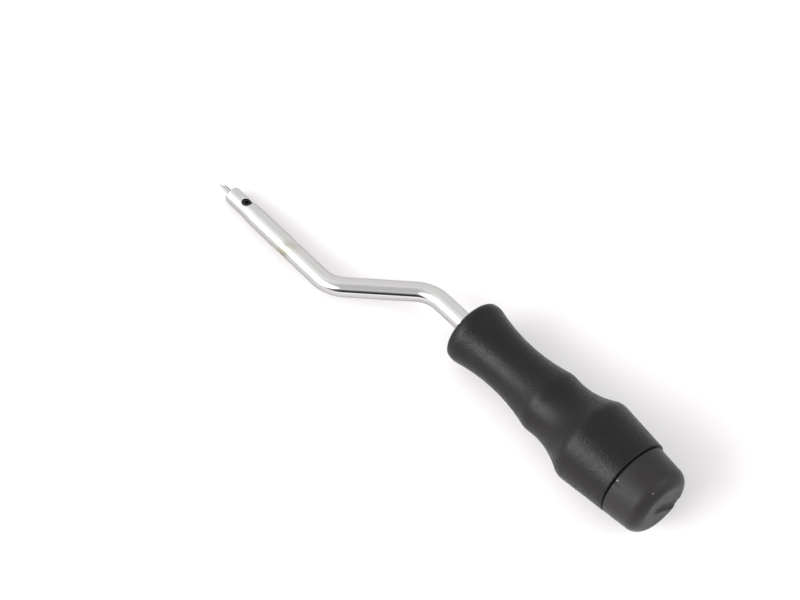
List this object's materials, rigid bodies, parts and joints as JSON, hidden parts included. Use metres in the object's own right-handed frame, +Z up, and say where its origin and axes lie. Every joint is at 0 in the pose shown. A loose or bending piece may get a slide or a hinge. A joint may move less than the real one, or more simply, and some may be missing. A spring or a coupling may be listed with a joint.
{
  "type": "spoke nipple driver",
  "caption": "Cranked hand driver with a free-spinning rubber grip on a chrome rod and a forked bit that turns slotted spoke nipples.",
  "frame": {"origin": "bottom centre of the tool's bounding box, as it lies on a bench", "axes": "+X from the end cap to the bit, +Y the way the crank reaches, +Z up from the bench"},
  "size_m": [0.2248, 0.0488, 0.0365],
  "materials": {
    "shank_chrome": "bright chrome plate",
    "bit_steel": "ground tool steel",
    "screw_black": "black oxide on steel",
    "grip_rubber": "matt, fine moulded grain",
    "cap_plastic": "satin moulded",
    "core_plastic": "moulded",
    "bush_bronze": "turned bearing bronze",
    "washer_steel": "bare steel",
    "clip_steel": "blued spring steel"
  },
  "bodies": {
    "shank": {"crank_shank": "shank_chrome", "front_thrust_washer": "washer_steel", "rear_thrust_washer": "washer_steel", "rear_retaining_clip": "clip_steel"},
    "handle": {"rubber_grip": "grip_rubber", "handle_core": "core_plastic", "front_bush": "bush_bronze", "rear_bush": "bush_bronze", "end_cap": "cap_plastic"},
    "bit": {"driver_bit": "bit_steel"},
    "grub_screw": {"bit_grub_screw": "screw_black"}
  },
  "joints": [
    {"name": "handle_spin", "type": "hinge", "parent": "shank", "child": "handle", "pos_m": [-0.0059, -0.0062, 0.01333], "axis": [0.9974, 0, -0.0715], "continuous": true},
    {"name": "bit_slide", "type": "slide", "parent": "shank", "child": "bit", "axis": [0.9974, 0, -0.0715], "range_m": [0, 0.004]},
    {"name": "grub_screw_back_off", "type": "slide", "parent": "shank", "child": "grub_screw", "axis": [0.0689, -0.2647, 0.9619], "range_m": [0, 0.0014]}
  ]
}
